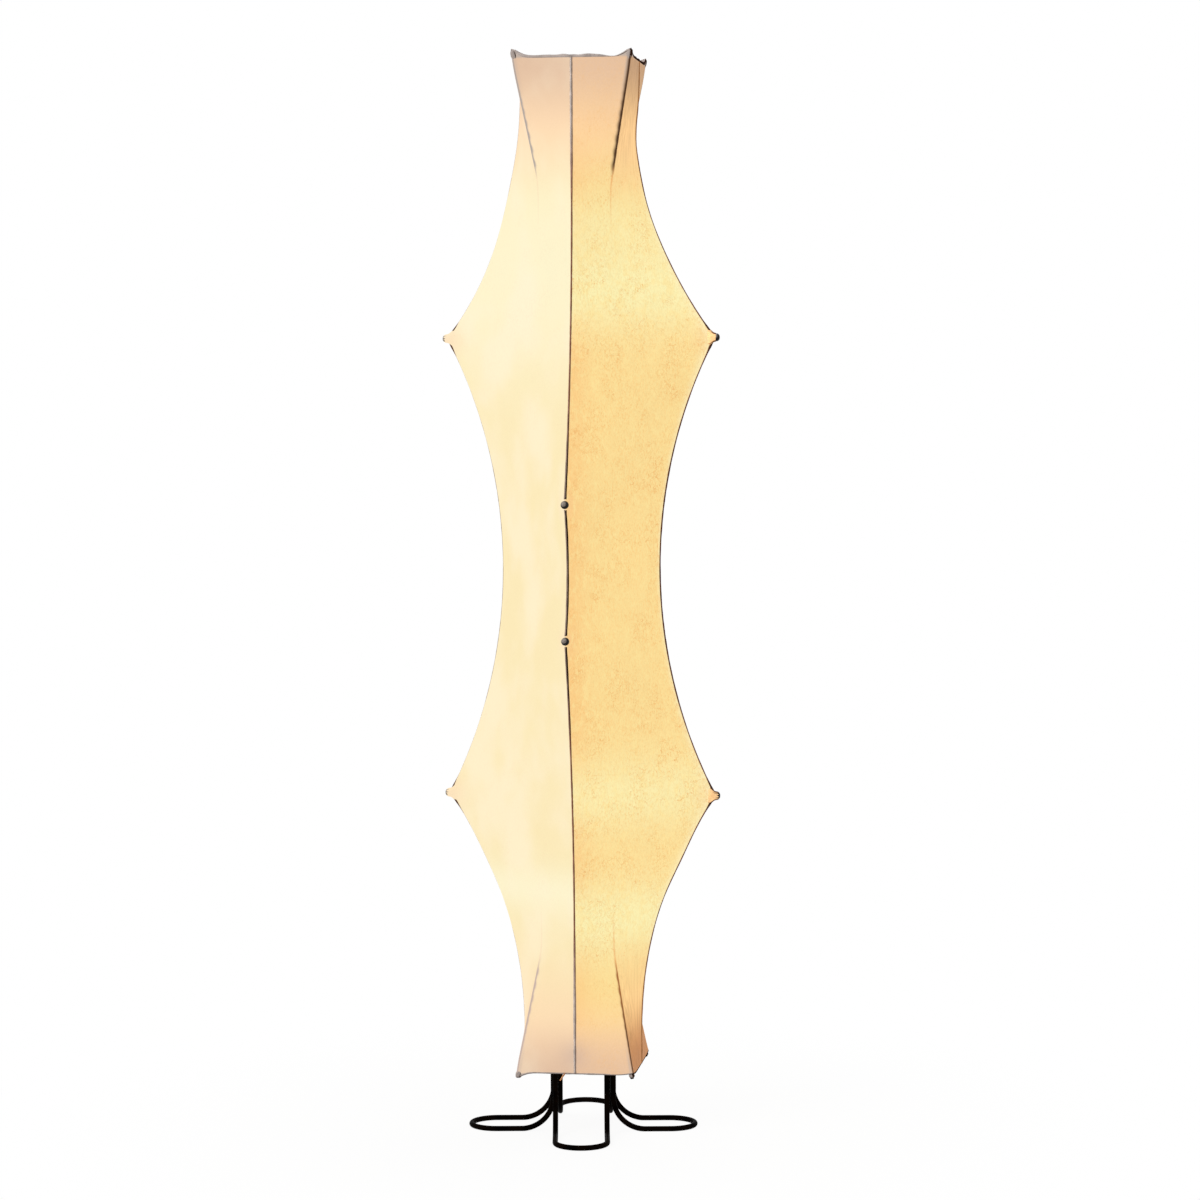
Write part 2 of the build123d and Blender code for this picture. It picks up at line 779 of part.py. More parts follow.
# Inlet for the mains cord, in the column's lower end
with BuildPart() as gland:
    with BuildSketch(Plane.XY.offset(column_bottom - gland_flange_height)):
        Circle(gland_flange_radius)
    extrude(amount=gland_flange_height)
    with BuildSketch(Plane.XY.offset(column_bottom)):
        Circle(column_radius - column_wall - fit_gap)
    extrude(amount=gland_neck_length)
    with BuildSketch(Plane.XY.offset(column_bottom - gland_flange_height)):
        Circle(gland_bore_radius)
    extrude(amount=gland_flange_height + gland_neck_length, mode=Mode.SUBTRACT)
keep(gland.part, "cable_gland")
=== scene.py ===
# %% [markdown]
# # A silk floor lamp
# The lamp is a tall sleeve of silk, held square at its two ends and pushed out to points by
# cross rods. The rods, hubs, column and feet come ready made as solids, so this lesson loads them
# as a fixed frame, gives them their finishes, and builds over them what only cloth can be: the
# silk, its piped seams, its hems, the small corner pockets and the gathers at the rod ends.

# %% The frame
import json
from math import cos, pi, radians, sin, sqrt

import bmesh
import bpy
import numpy as np
from mathutils import Matrix, Vector


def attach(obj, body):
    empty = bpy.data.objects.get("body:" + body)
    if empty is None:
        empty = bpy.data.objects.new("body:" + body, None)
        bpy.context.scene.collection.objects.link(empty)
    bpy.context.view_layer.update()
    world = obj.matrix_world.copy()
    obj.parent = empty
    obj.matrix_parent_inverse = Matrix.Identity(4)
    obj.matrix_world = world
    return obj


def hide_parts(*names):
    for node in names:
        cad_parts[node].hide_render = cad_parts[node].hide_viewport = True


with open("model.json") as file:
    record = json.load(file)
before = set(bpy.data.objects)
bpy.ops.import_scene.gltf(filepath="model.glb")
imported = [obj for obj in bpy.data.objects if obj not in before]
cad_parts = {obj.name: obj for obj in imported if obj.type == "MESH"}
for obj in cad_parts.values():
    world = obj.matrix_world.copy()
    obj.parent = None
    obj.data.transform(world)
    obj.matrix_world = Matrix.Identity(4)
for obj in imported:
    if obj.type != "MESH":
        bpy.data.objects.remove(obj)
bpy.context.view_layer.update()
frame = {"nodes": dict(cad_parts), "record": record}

# %% [markdown]
# ## The camera
# By its perspective, the photograph was taken from almost 5 m away with a long lens, a little
# above the middle of the lamp. A camera in Blender looks along its own -Z, so it is stood upright
# first (a quarter turn about X), then pitched down, and turned about Z to face the column.

# %% Camera
picture_width = 1200
focal_length_in_pixels = 3423
camera_distance = 4.779
camera_height = 1.056
camera_turn = radians(8.0)
camera_pitch = radians(3.735)
camera_swing = radians(0.31)
camera_roll = radians(-0.19)

camera = bpy.data.objects.new("camera", bpy.data.cameras.new("camera"))
camera.data.sensor_width = 36
camera.data.lens = focal_length_in_pixels / picture_width * camera.data.sensor_width
camera.matrix_world = (
    Matrix.Translation(
        (
            camera_distance * sin(camera_turn),
            -camera_distance * cos(camera_turn),
            camera_height,
        )
    )
    @ Matrix.Rotation(camera_turn - camera_swing, 4, "Z")
    @ Matrix.Rotation(pi / 2 - camera_pitch, 4, "X")
    @ Matrix.Rotation(camera_roll, 4, "Z")
)
bpy.context.scene.collection.objects.link(camera)
bpy.context.scene.camera = camera
print("lens", round(camera.data.lens, 1), "mm")

# %% [markdown]
# ## Where the seams run
# Four seams carry the shape. Each is held out by two rod ends, so it is an arc round the waist
# between them and a long arc from each rod end to the straight part at the rim. The side seams
# (left and right) have their rods far apart, the front and back seams close together.

# %% Sizes of the cover, in metres
waist = 0.7905
top_rim = 1.490
bottom_rim = 0.091
rim_half = 0.0823
side_rods = (0.4713, 1.1097)
front_rods = (0.698, 0.883)
side_tip = 0.1875
front_tip = 0.158
crease_gap = 0.0053
ear_reach = rim_half * sqrt(2) - crease_gap
hub_face_top = 1.1217
hub_face_bottom = 0.4593
arm_hub_reach = 0.014
side_shape = {
    "rod_rise": 0.3192,
    "tip": side_tip,
    "middle": 0.110,
    "straight_above": 0.631,
    "straight_below": 0.650,
}
front_shape = {
    "rod_rise": 0.0925,
    "tip": front_tip,
    "middle": 0.134,
    "straight_above": 0.519,
    "straight_below": 0.519,
}
print("the cover is", round(top_rim - bottom_rim, 3), "m long")

# %% [markdown]
# ## Lines of the seams and the arms
# Each arc is part of a circle, whose radius follows from how far it rises over its length. The
# real seams differ a little from such arcs, so the side seams get three low humps: one leans the
# upper part over, one pulls the right seam in under the rim, and one fills out the lower part.

# %% Seam lines
def bow_radius(half_length, rise):
    """The radius of an arc that rises by rise over half_length, starting level."""
    return (half_length**2 + rise**2) / (2 * rise)


def seam_reach(z, rod_rise, tip, middle, straight_above, straight_below):
    """How far a seam stands from the column at the heights z. It is straight past the two
    heights straight_above and straight_below, counted from the waist."""
    rise = np.abs(z - waist)
    straight_rise = np.where(z > waist, straight_above, straight_below)
    outer = bow_radius(straight_rise - rod_rise, tip - rim_half)
    inner = bow_radius(rod_rise, tip - middle)
    fall = np.clip(straight_rise - rise, 0, None)
    past_rod = rim_half + outer - np.sqrt(np.maximum(outer**2 - fall**2, 0))
    within = middle + inner - np.sqrt(np.maximum(inner**2 - rise**2, 0))
    return np.where(rise >= rod_rise, past_rod, within)


def hump(at, height, centre, spread):
    """A low hill of a height round centre, which dies away over about spread on each side."""
    return height * np.exp(-(((at - centre) / spread) ** 2))


def side_seam(z, way):
    """The reach of the left (way -1) or right (way 1) seam."""
    lean = hump(z, -0.0055 * way, 1.31, 0.09)
    pulled_in = hump(z, -0.0018 * (1 + way), 1.385, 0.04)
    full = hump(z, 0.003 + 0.001 * way, 0.385, 0.05)
    return seam_reach(z, **side_shape) + lean + pulled_in + full


def front_seam(z):
    """The reach of the front and of the back seam."""
    return seam_reach(z, **front_shape)


def arm_reach(z):
    """How far the centre line of a corner arm stands from the column, along the diagonal."""
    top = (z - hub_face_top) / (top_rim - hub_face_top)
    bottom = (hub_face_bottom - z) / (hub_face_bottom - bottom_rim)
    share = np.where(z > waist, top, bottom)
    return arm_hub_reach + share * (ear_reach - arm_hub_reach)


print("side rods push the seams to", side_seam(np.array(side_rods), 1).round(4), "m")

# %% [markdown]
# ## The silk
# Stretched cloth settles where its pull balances: every point lies at the average of its
# neighbours. So each quarter of the sleeve is a grid between two seams, its edges are pinned to
# the seams and the rims, and the rest is averaged again and again until it stops moving. The rows
# of the grid crowd together at the rods and rims, where the shape turns most.

# %% Rows and columns of the grid
def crowded(low, high, count, pull):
    """Heights from low to high, closer together at both ends."""
    t = np.linspace(0, 1, count)
    return low + (high - low) * (t - pull * np.sin(2 * pi * t) / (2 * pi))


spans = [
    (bottom_rim, side_rods[0], 64),
    (side_rods[0], front_rods[0], 40),
    (front_rods[0], front_rods[1], 36),
    (front_rods[1], side_rods[1], 40),
    (side_rods[1], top_rim, 64),
]
rows = np.concatenate([crowded(a, b, n, 0.72)[:-1] for a, b, n in spans] + [[top_rim]])
across = crowded(0, 1, 45, 0.55)
print(len(rows), "rows of", len(across), "points a panel")

# %% [markdown]
# ## Letting the net settle
# One round moves every second point, like the black fields of a chessboard, and then the others.
# Each goes a bit past the average of its neighbours, which settles sooner than going just there.
# Where a corner arm pokes against the cloth from inside, the grid's middle line is kept on the
# arm, which makes the crease. Cloth simulation would find the same shape, but slower and less
# evenly.

# %% Averaging
rounds = 900
overshoot = 1.75
panel_width = 0.17


def relaxed(start, heights, width, crease):
    """Moves the inner points of a grid of x and y until each is the average of its
    neighbours, weighted for the uneven spacing. crease holds the middle column's least reach."""
    grid = start.copy()
    dz = np.diff(heights)
    du = np.diff(across) * width
    below, above = dz[:-1, None], dz[1:, None]
    before, after = du[None, :-1], du[None, 1:]
    weights = [
        1 / (below * (below + above)) + 0 * before,
        1 / (above * (below + above)) + 0 * before,
        1 / (before * (before + after)) + 0 * below,
        1 / (after * (before + after)) + 0 * below,
    ]
    total = sum(weights)
    checks = np.add.outer(np.arange(len(heights) - 2), np.arange(len(across) - 2)) % 2
    middle = len(across) // 2
    for _ in range(rounds):
        for parity in (0, 1):
            mean = sum(
                w[..., None] * part
                for w, part in zip(
                    weights,
                    (grid[:-2, 1:-1], grid[2:, 1:-1], grid[1:-1, :-2], grid[1:-1, 2:]),
                )
            ) / total[..., None]
            step = overshoot * (mean - grid[1:-1, 1:-1])
            grid[1:-1, 1:-1] += np.where((checks == parity)[..., None], step, 0)
        reach = grid[:, middle].sum(axis=1) / sqrt(2)
        held = reach < crease
        grid[held, middle] = crease[held, None] / sqrt(2)
    return grid


print("the net settles in", rounds, "rounds")

# %% [markdown]
# ## Four quarters
# Every quarter starts as two flat faces that meet at the crease. Once it has settled, its rims
# are drawn out at the corners, where the ears pull the cloth along the arms. The left corners
# hang a little at the bottom, and the right ones are pulled up.

# %% Quarters of the sleeve
corner_of_rim = np.array([(ear_reach + crease_gap) / sqrt(2)] * 2)
corner_spread = 0.012
top_pull = 0.008
bottom_pull = {-1: 0.006, 1: -0.002}
pulled_above = 1.46
pulled_below = 0.115


def drawn_out(grid, way_x):
    """How far the ears lift each point of a quarter, most at the corners of its rims."""
    away = np.linalg.norm(grid - corner_of_rim[None, None], axis=2)
    near = np.exp(-((away / corner_spread) ** 2))
    top_share = np.clip((rows - pulled_above) / (top_rim - pulled_above), 0, 1)[:, None]
    bottom_share = np.clip((pulled_below - rows) / (pulled_below - bottom_rim), 0, 1)[:, None]
    return near * (top_pull * top_share**2 - bottom_pull[way_x] * bottom_share**2)


def quarter(way_x, way_y):
    """The settled grid of one quarter of the sleeve, as an array of points."""
    side, front = side_seam(rows, way_x), front_seam(rows)
    crease = arm_reach(rows) + crease_gap
    crease[(rows > hub_face_bottom) & (rows < hub_face_top)] = 0
    taut = sqrt(2) * side * front / (side + front)
    corner = np.maximum(crease, taut) / sqrt(2)
    t = across[None, :, None]
    side_edge = np.stack([side, 0 * side], 1)[:, None]
    front_edge = np.stack([0 * front, front], 1)[:, None]
    bend = np.stack([corner, corner], 1)[:, None]
    start = np.where(
        t < 0.5, side_edge + (bend - side_edge) * 2 * t, bend + (front_edge - bend) * (2 * t - 1)
    )
    grid = relaxed(start, rows, panel_width, crease)
    points = np.empty((len(rows), len(across), 3))
    points[..., 0] = way_x * grid[..., 0]
    points[..., 1] = way_y * grid[..., 1]
    points[..., 2] = rows[:, None]
    points[..., 2] += drawn_out(grid, way_x)
    return points


quarters = {
    "front_left": (-1, -1),
    "front_right": (1, -1),
    "back_right": (1, 1),
    "back_left": (-1, 1),
}
settled = {name: quarter(*ways) for name, ways in quarters.items()}
print("waist of a panel at", settled["front_right"][len(rows) // 2, len(across) // 2].round(4))

# %% [markdown]
# ## Gathers at the rod ends
# A rod end pushes through an eyelet in the seam, and the silk is drawn into small folds that run
# out from it like rays. The folds are a ripple round each rod end that dies away within a few
# centimetres, and in the last few millimetres before the knob.

# %% Rays of folds
rod_ends = [
    (Vector((way * side_tip, 0, z)), Vector((way, 0, 0))) for way in (-1, 1) for z in side_rods
] + [
    (Vector((0, way * front_tip, z)), Vector((0, way, 0))) for way in (-1, 1) for z in front_rods
]
fold_height = 0.0007
fold_reach = 0.016
smooth_rim = 0.004


def gathered(points):
    """The points, with rays of folds round every rod end."""
    normal = np.cross(np.gradient(points, axis=1), np.gradient(points, axis=0))
    normal /= np.maximum(np.linalg.norm(normal, axis=2, keepdims=True), 1e-12)
    moved = points.copy()
    for number, (tip, out) in enumerate(rod_ends):
        away = points - np.array(tip)
        distance = np.linalg.norm(away, axis=2)
        inward = np.abs(away @ np.array(out.cross(Vector((0, 0, 1)))))
        angle = np.arctan2(away[..., 2], inward + 1e-6)
        ripple = np.sin(9 * angle + number) + 0.6 * np.sin(17 * angle + 2.3 * number)
        size = fold_height * np.exp(-distance / fold_reach) * (1 - np.exp(-distance / smooth_rim))
        moved += normal * (ripple * size)[..., None]
    return moved


settled = {name: gathered(points) for name, points in settled.items()}
print(len(rod_ends), "rod ends gather the silk")

# %% [markdown]
# ## Meshes from grids
# A grid of points turns into a mesh of four-sided faces. Its UV map holds real lengths: how far a
# point is along the cloth from the seam, and its height, so that the weave has its true scale.

# %% Grid to mesh
def new_piece(name, mesh, material, body="stand", nodes=()):
    """Adds a piece, smooth shaded, riding on a body and standing for its solids."""
    piece = bpy.data.objects.new(name, mesh)
    bpy.context.scene.collection.objects.link(piece)
    for face in mesh.polygons:
        face.use_smooth = True
    mesh.materials.append(material)
    if nodes:
        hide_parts(*nodes)
    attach(piece, body)
    return piece


def grid_mesh(name, points, flip=False, closed=False):
    """A mesh from rows of points; closed joins each row's last point to its first."""
    tall, wide = points.shape[:2]
    step = np.linalg.norm(np.diff(points, axis=1), axis=2)
    length = np.concatenate([np.zeros((tall, 1)), np.cumsum(step, axis=1)], axis=1)
    faces, uvs = [], []
    for i in range(tall - 1):
        for j in range(wide if closed else wide - 1):
            k = (j + 1) % wide
            corners = [(i, j), (i, k), (i + 1, k), (i + 1, j)]
            if flip:
                corners.reverse()
            faces.append([a * wide + b for a, b in corners])
            uvs += [(length[a, b], points[a, b, 2]) for a, b in corners]
    mesh = bpy.data.meshes.new(name)
    mesh.from_pydata(points.reshape(-1, 3).tolist(), [], faces)
    layer = mesh.uv_layers.new(name="cloth")
    layer.data.foreach_set("uv", np.array(uvs).ravel())
    return mesh


print("a panel has", (len(rows) - 1) * (len(across) - 1), "faces")

# %% [markdown]
# ## Writing materials as sums
# A material is a graph of nodes. A small class wraps one output of the graph, so that adding or
# multiplying two of them adds the node that does it, and one method makes any other node.

# %% Shader expressions
class Wire:
    """One output of a material's node graph."""

    def __init__(self, tree, socket=None):
        self.tree, self.socket = tree, socket

    def node(self, kind, settings=None, sockets=None, output=0):
        """Adds a node of a kind, sets it up, then fills its sockets with values or wires."""
        made = self.tree.nodes.new("ShaderNode" + kind)
        for key, value in (settings or {}).items():
            setattr(made, key, value)
        for key, value in (sockets or {}).items():
            if isinstance(value, Wire):
                self.tree.links.new(value.socket, made.inputs[key])
            else:
                made.inputs[key].default_value = value
        return Wire(self.tree, made.outputs[output])

    def math(self, operation, *values, clamp=False):
        settings = {"operation": operation, "use_clamp": clamp}
        return self.node("Math", settings, dict(enumerate(values)))

    def __add__(self, other):
        return self.math("ADD", self, other)

    __radd__ = __add__

    def __sub__(self, other):
        return self.math("SUBTRACT", self, other)

    def __rsub__(self, other):
        return self.math("SUBTRACT", other, self)

    def __mul__(self, other):
        return self.math("MULTIPLY", self, other)

    __rmul__ = __mul__

    def __truediv__(self, other):
        return self.math("DIVIDE", self, other)

    def __pow__(self, other):
        return self.math("POWER", self, other)

    def __abs__(self):
        return self.math("ABSOLUTE", self)

    def clamped(self):
        return self.math("ADD", self, 0, clamp=True)

    def smooth(self, low, high, first=0.0, last=1.0):
        """Goes softly from first to last as this value goes from low to high."""
        return self.node(
            "MapRange",
            {"interpolation_type": "SMOOTHSTEP"},
            {0: self, 1: low, 2: high, 3: first, 4: last},
        )

    def bell(self, centre, width):
        """1 at centre, falling off to 0 over about width on each side."""
        return self.math("EXPONENT", ((self - centre) / width) ** 2 * -1)

    def blend(self, first, second):
        """Mixes two colours, by this value."""
        return self.node("Mix", {"data_type": "RGBA"}, {0: self, 6: first, 7: second}, output=2)

    def place(self):
        """The point's place on its piece, in metres."""
        return self.node("TexCoord", output=3)

    def parts(self):
        """The x, y and z of this place."""
        return [self.node("SeparateXYZ", None, {0: self}, output=i) for i in range(3)]

    def noise(self, scale, detail):
        """Cloudy noise over this place."""
        return self.node("TexNoise", None, {"Vector": self, "Scale": scale, "Detail": detail})

    def bump(self, strength, height):
        """A surface roughened by this value, which stands for a height in metres."""
        sockets = {"Strength": strength, "Distance": height, "Height": self}
        return self.node("Bump", None, sockets)


print("a wire can do", ", ".join(name for name in vars(Wire) if not name.startswith("_")))

# %% [markdown]
# ## Colours and surfaces
# Colours are written as they look on screen. Small functions start a material, fill the sockets of
# its surface, tell how far a surface looks one way, and make a colour darker or lighter.

# %% Colours and surfaces
def rgb(red, green, blue):
    """A colour written as it looks on screen, turned into the linear one that nodes use."""
    linear = [
        (c / 12.92 if c <= 0.04045 else ((c + 0.055) / 1.055) ** 2.4)
        for c in (red / 255, green / 255, blue / 255)
    ]
    return (*linear, 1)


def new_material(name):
    """An empty material, with its graph's wire and its surface shader."""
    material = bpy.data.materials.new(name)
    material.use_nodes = True
    tree = material.node_tree
    return material, Wire(tree), tree.nodes["Principled BSDF"]


def feed(shader, **sockets):
    """Fills a shader's sockets, named with _ for a space, with values or wires."""
    for key, value in sockets.items():
        socket = shader.inputs[key.replace("_", " ")]
        if isinstance(value, Wire):
            value.tree.links.new(value.socket, socket)
        else:
            socket.default_value = value


def facing(wire, way, low, high):
    """How far the surface looks one way, going softly from 0 at low to 1 at high."""
    normal = wire.node("NewGeometry", output=1)
    along = wire.node("VectorMath", {"operation": "DOT_PRODUCT"}, {0: normal, 1: way}, output=1)
    return along.smooth(low, high)


def shaded(wire, colour, factor):
    """A colour times a number that varies from place to place."""
    grey = wire.node("CombineColor", None, {0: factor, 1: factor, 2: factor})
    settings = {"data_type": "RGBA", "blend_type": "MULTIPLY"}
    return wire.node("Mix", settings, {0: 1.0, 6: colour, 7: grey}, output=2)


print("a middle grey is", round(rgb(128, 128, 128)[0], 3), "to the nodes")

# %% [markdown]
# ## The glowing silk
# The silk is lit by two bulbs behind it, so most of its colour is light that comes through it.
# It is painted as a glow that depends on the place on the lamp: brightest beside each bulb,
# deeper in the middle, and a dull peach at the two rims, past the bulbs' reach. The left half is
# painted paler, as lit by the room's main light from the front left, and the right half a deeper
# gold. Where a rod end gathers it, it is warmer and denser.
# The bulbs' light could be traced through the cloth instead, but it would come out grainy, and the
# glow would be lost in other programs.

# %% Silk
silk, wire, surface = new_material("silk")
place = wire.place()
x, y, z = place.parts()

# 0 on the left half, painted paler as lit by the room's light, and 1 on the right half
golden = x.smooth(-0.003, 0.003)
pale_bulbs = (z.bell(1.21, 0.16) + z.bell(0.342, 0.036)).clamped()
gold_bulbs = z.bell(1.175, 0.058) + z.bell(1.265, 0.05) * 0.6
gold_bulbs = (gold_bulbs + z.bell(0.303, 0.055) + z.bell(0.478, 0.052) * 0.8).clamped()
by_seam = x.bell(0.0, 0.022)
pale_side = pale_bulbs.blend(rgb(251, 233, 185), rgb(253, 243, 205))
gold_side = gold_bulbs.blend(
    by_seam.blend(rgb(253, 222, 151), rgb(253, 209, 139)), rgb(253, 241, 180)
)
lit_colour = golden.blend(pale_side, gold_side)
peach = golden.blend(rgb(253, 219, 180), rgb(254, 212, 161))
rim_colour = golden.blend(rgb(226, 192, 163), rgb(230, 193, 160))
half_lit = z.smooth(0.11, 0.30 - golden * 0.08) * z.smooth(1.29, 1.415, 1.0, 0.0)
unlit = z.smooth(0.085, 0.175, 1.0, 0.0) + z.smooth(1.385, 1.485)
glow = unlit.clamped().blend(half_lit.blend(peach, lit_colour), rim_colour)

rise = abs(z - waist)
from_side = ((abs(x) - side_tip) ** 2 + (rise - side_rods[1] + waist) ** 2) ** 0.5
from_front = ((abs(y) - front_tip) ** 2 + (rise - front_rods[1] + waist) ** 2) ** 0.5
gathered_up = (from_side.bell(0.0, 0.024) + from_front.bell(0.0, 0.018)).clamped()
glow = (gathered_up * 0.7).blend(glow, golden.blend(rgb(253, 224, 190), rgb(250, 205, 146)))
print(len(silk.node_tree.nodes), "nodes for the glow")

# %% [markdown]
# ## Threads in the silk
# Fine curly fibres and small flecks in the silk block some of the light, and a faint weave lies
# over all of it. They show most on the golden right half, and more in the middle than near the
# rims. The left half has paler clouds instead. A fibre is a line where a wandering noise passes
# its middle value. A picture of silk would repeat and stretch over the net, and noise never does.

# %% Threads in the silk
def stretched(scale_x, scale_z):
    """The place on the lamp, scaled so that noise in it comes out long and narrow."""
    scales = (scale_x, scale_x, scale_z)
    return wire.node("VectorMath", {"operation": "MULTIPLY"}, {0: place, 1: scales})


def fibres(scale, width, seed):
    """Thin curly lines, where a wandering noise passes its middle value."""
    field = wire.node(
        "TexNoise",
        {"noise_dimensions": "4D"},
        {"Vector": place, "W": seed, "Scale": scale, "Detail": 3.0, "Roughness": 0.6},
    )
    return abs(field - 0.5).smooth(0.0, width, 1.0, 0.0)


flecks = stretched(460.0, 210.0).noise(1.0, 3.0)
grain = stretched(820.0, 420.0).noise(1.0, 2.0)
mottle = stretched(120.0, 80.0).noise(1.0, 5.0)
patches = place.noise(26.0, 4.0)
cloudy = stretched(11.0, 7.0).noise(1.0, 3.0)
hairs = (fibres(34.0, 0.008, 1.0) + fibres(61.0, 0.008, 7.0)).clamped()
hairs = hairs * patches.smooth(0.40, 0.64)
speckle = flecks.smooth(0.42, 0.7) * patches.smooth(0.38, 0.6, 0.5, 1.0)
middle = z.smooth(0.16, 0.33) * z.smooth(1.22, 1.42, 1.0, 0.0)
paler = cloudy.smooth(0.42, 0.66) * (1.0 - golden) * (0.3 + middle * 0.25)
glow = paler.blend(glow, rgb(254, 241, 212))
yellower = mottle.smooth(0.46, 0.64) * golden * middle * 0.5
glow = yellower.blend(glow, rgb(255, 229, 158))
# painted light: a bright strip along the right seam, in the middle of the lamp
lit_edge = abs(y).bell(0.0, 0.0045) * golden * middle * 0.7
glow = lit_edge.blend(glow, rgb(255, 244, 196))
fleck_share = (golden * 0.40 + 0.08) * (0.35 + middle * 0.65)
gold_fleck = gold_bulbs.blend(rgb(246, 190, 114), rgb(243, 208, 132))
fleck_colour = golden.blend(rgb(247, 214, 176), gold_fleck)
glow = (speckle * fleck_share).clamped().blend(glow, fleck_colour)
hair_colour = golden.blend(rgb(240, 205, 165), rgb(234, 166, 92))
glow = (hairs * fleck_share * 1.2).clamped().blend(glow, hair_colour)
shade = 1.0 + (cloudy - 0.5) * 0.07 + (grain - 0.5) * (0.06 + golden * (0.06 + middle * 0.15))
print(len(silk.node_tree.nodes), "nodes with the threads")

# %% [markdown]
# ## Arms that show through the silk
# Past the hubs each corner arm leans on the silk from inside and shows as a line along the crease.
# Where the arm leaves the silk, the crease fades out. On the right half, near the rims, the silk
# past the crease faces away from the room, so it is lit only by what comes through it. The silk
# of this model isn't see-through, so all of this is painted where the arms are.

# %% Arms and creases
past_crease = abs(x) - abs(y)
arm_touches = z.smooth(1.325, 1.35) + z.smooth(0.225, 0.25, 1.0, 0.0)
crease_fades = z.smooth(1.24, 1.34) + z.smooth(0.235, 0.34, 1.0, 0.0)
near_rim = z.smooth(1.27, 1.42) + z.smooth(0.16, 0.29, 1.0, 0.0)
streaks = stretched(420.0, 9.0).noise(1.0, 3.0)
right_face = golden * past_crease.smooth(0.0, 0.002) * near_rim
low_end = z.smooth(0.4, 0.6, 1.0, 0.0)
low_tan = z.smooth(0.11, 0.20).blend(rgb(200, 136, 82), rgb(254, 208, 144))
low_tan = (unlit.clamped() * 0.35).blend(low_tan, rgb(160, 118, 88))
tan = low_end.blend(unlit.clamped().blend(rgb(253, 206, 144), rgb(192, 152, 114)), low_tan)
tan = shaded(wire, tan, streaks.smooth(0.3, 0.7, 0.86, 1.12))
glow = (right_face * 0.95).blend(glow, tan)
rim_only = z.smooth(1.425, 1.485) + z.smooth(0.095, 0.14, 1.0, 0.0)
soft_line = past_crease.bell(-0.0046, 0.0019) * (arm_touches * rim_only * 0.6).clamped()
glow = (soft_line * (golden * 0.5 + 0.5)).blend(glow, rgb(192, 176, 164))
soft_crease = past_crease.bell(-0.0006, 0.0016) * (crease_fades * (0.25 + golden * 0.3)).clamped()
glow = soft_crease.blend(glow, golden.blend(rgb(240, 196, 168), rgb(236, 150, 78)))
upper = z.smooth(0.7, 0.9)
arm_line = past_crease.bell(-0.0012, 0.0013 + golden * upper * 0.0014)
arm_line = arm_line * (arm_touches * 0.97).clamped()
left_arm = upper.blend(rgb(196, 176, 168), rgb(172, 163, 158))
lower_right_arm = z.smooth(0.13, 0.22).blend(rgb(66, 40, 27), rgb(158, 98, 54))
right_arm = upper.blend(lower_right_arm, rgb(52, 30, 19))
glow = arm_line.blend(glow, golden.blend(left_arm, right_arm))
print(len(silk.node_tree.nodes), "nodes with the arms")

# %% [markdown]
# ## Rims, and the surface
# The base plate leaves a shadow low in the front of the silk. At the rims and the ears the cloth
# is doubled, so less light comes through. What comes through is given off by the surface itself,
# and a small share of the colour is left to the light of the room.

# %% Rims and surface of the silk
plate_shadow = x.bell(0.0, 0.02) * z.bell(0.116, 0.02) * y.smooth(-0.07, -0.06, 1.0, 0.0)
glow = (plate_shadow * 0.5).blend(glow, rgb(204, 176, 160))
doubled = z.smooth(1.4885, 1.4925) + z.smooth(0.0885, 0.0905, 1.0, 0.0)
glow = (doubled.clamped() * 0.85).blend(glow, rgb(186, 174, 166))

reflected = 0.2
feed(
    surface,
    Base_Color=shaded(wire, glow, shade * reflected),
    Roughness=0.75,
    Emission_Color=shaded(wire, glow, shade),
    Emission_Strength=0.82,
    Specular_IOR_Level=0.1,
)
print(len(silk.node_tree.nodes), "nodes in the silk")

# %% [markdown]
# ## Panels
# Each quarter of the net becomes a piece that takes the place of a plain panel among the solids.
# A modifier gives the cloth its thickness, so that the rims have an edge.

# %% Panels
silk_thickness = 0.0008
for name, points in settled.items():
    way_x, way_y = quarters[name]
    mesh = grid_mesh(f"{name}_silk", points, flip=way_x * way_y > 0)
    panel = new_piece(f"{name}_silk", mesh, silk, nodes=(f"{name}_panel",))
    solid = panel.modifiers.new("thickness", "SOLIDIFY")
    solid.thickness = silk_thickness
    solid.offset = -1

# %% [markdown]
# ## Tubes for piping and ties
# Each seam holds a cord covered in dark cloth. A tube is swept along the seam's line, with a
# slight unevenness, because sewn cloth never grips its cord evenly.

# %% Tubes along a line
def tube(name, line, radius, sides=10, unevenness=0.0, squash=1.0):
    """A round mesh along a line of points, closed at both ends. The radius is one number, or
    one for each point."""
    line = np.asarray(line, float)
    radii = np.broadcast_to(radius, len(line))
    along = np.gradient(line, axis=0)
    along /= np.linalg.norm(along, axis=1, keepdims=True)
    rings = []
    across_way = Vector(along[0]).orthogonal().normalized()
    for i, (point, way, radius) in enumerate(zip(line, along, radii)):
        way = Vector(way)
        across_way = (across_way - way * across_way.dot(way)).normalized()
        other = way.cross(across_way)
        wobble = 1 + unevenness * (sin(i * 1.7) + sin(i * 0.61 + 2))
        rings.append(
            [
                Vector(point)
                + across_way * radius * wobble * cos(2 * pi * k / sides)
                + other * radius * wobble * squash * sin(2 * pi * k / sides)
                for k in range(sides)
            ]
        )
    mesh = bpy.data.meshes.new(name)
    bm = bmesh.new()
    layers = [[bm.verts.new(p) for p in ring] for ring in rings]
    for first, second in zip(layers, layers[1:]):
        for k in range(sides):
            m = (k + 1) % sides
            bm.faces.new((first[k], first[m], second[m], second[k]))
    bm.faces.new(reversed(layers[0]))
    bm.faces.new(layers[-1])
    bm.normal_update()
    bm.to_mesh(mesh)
    bm.free()
    return mesh


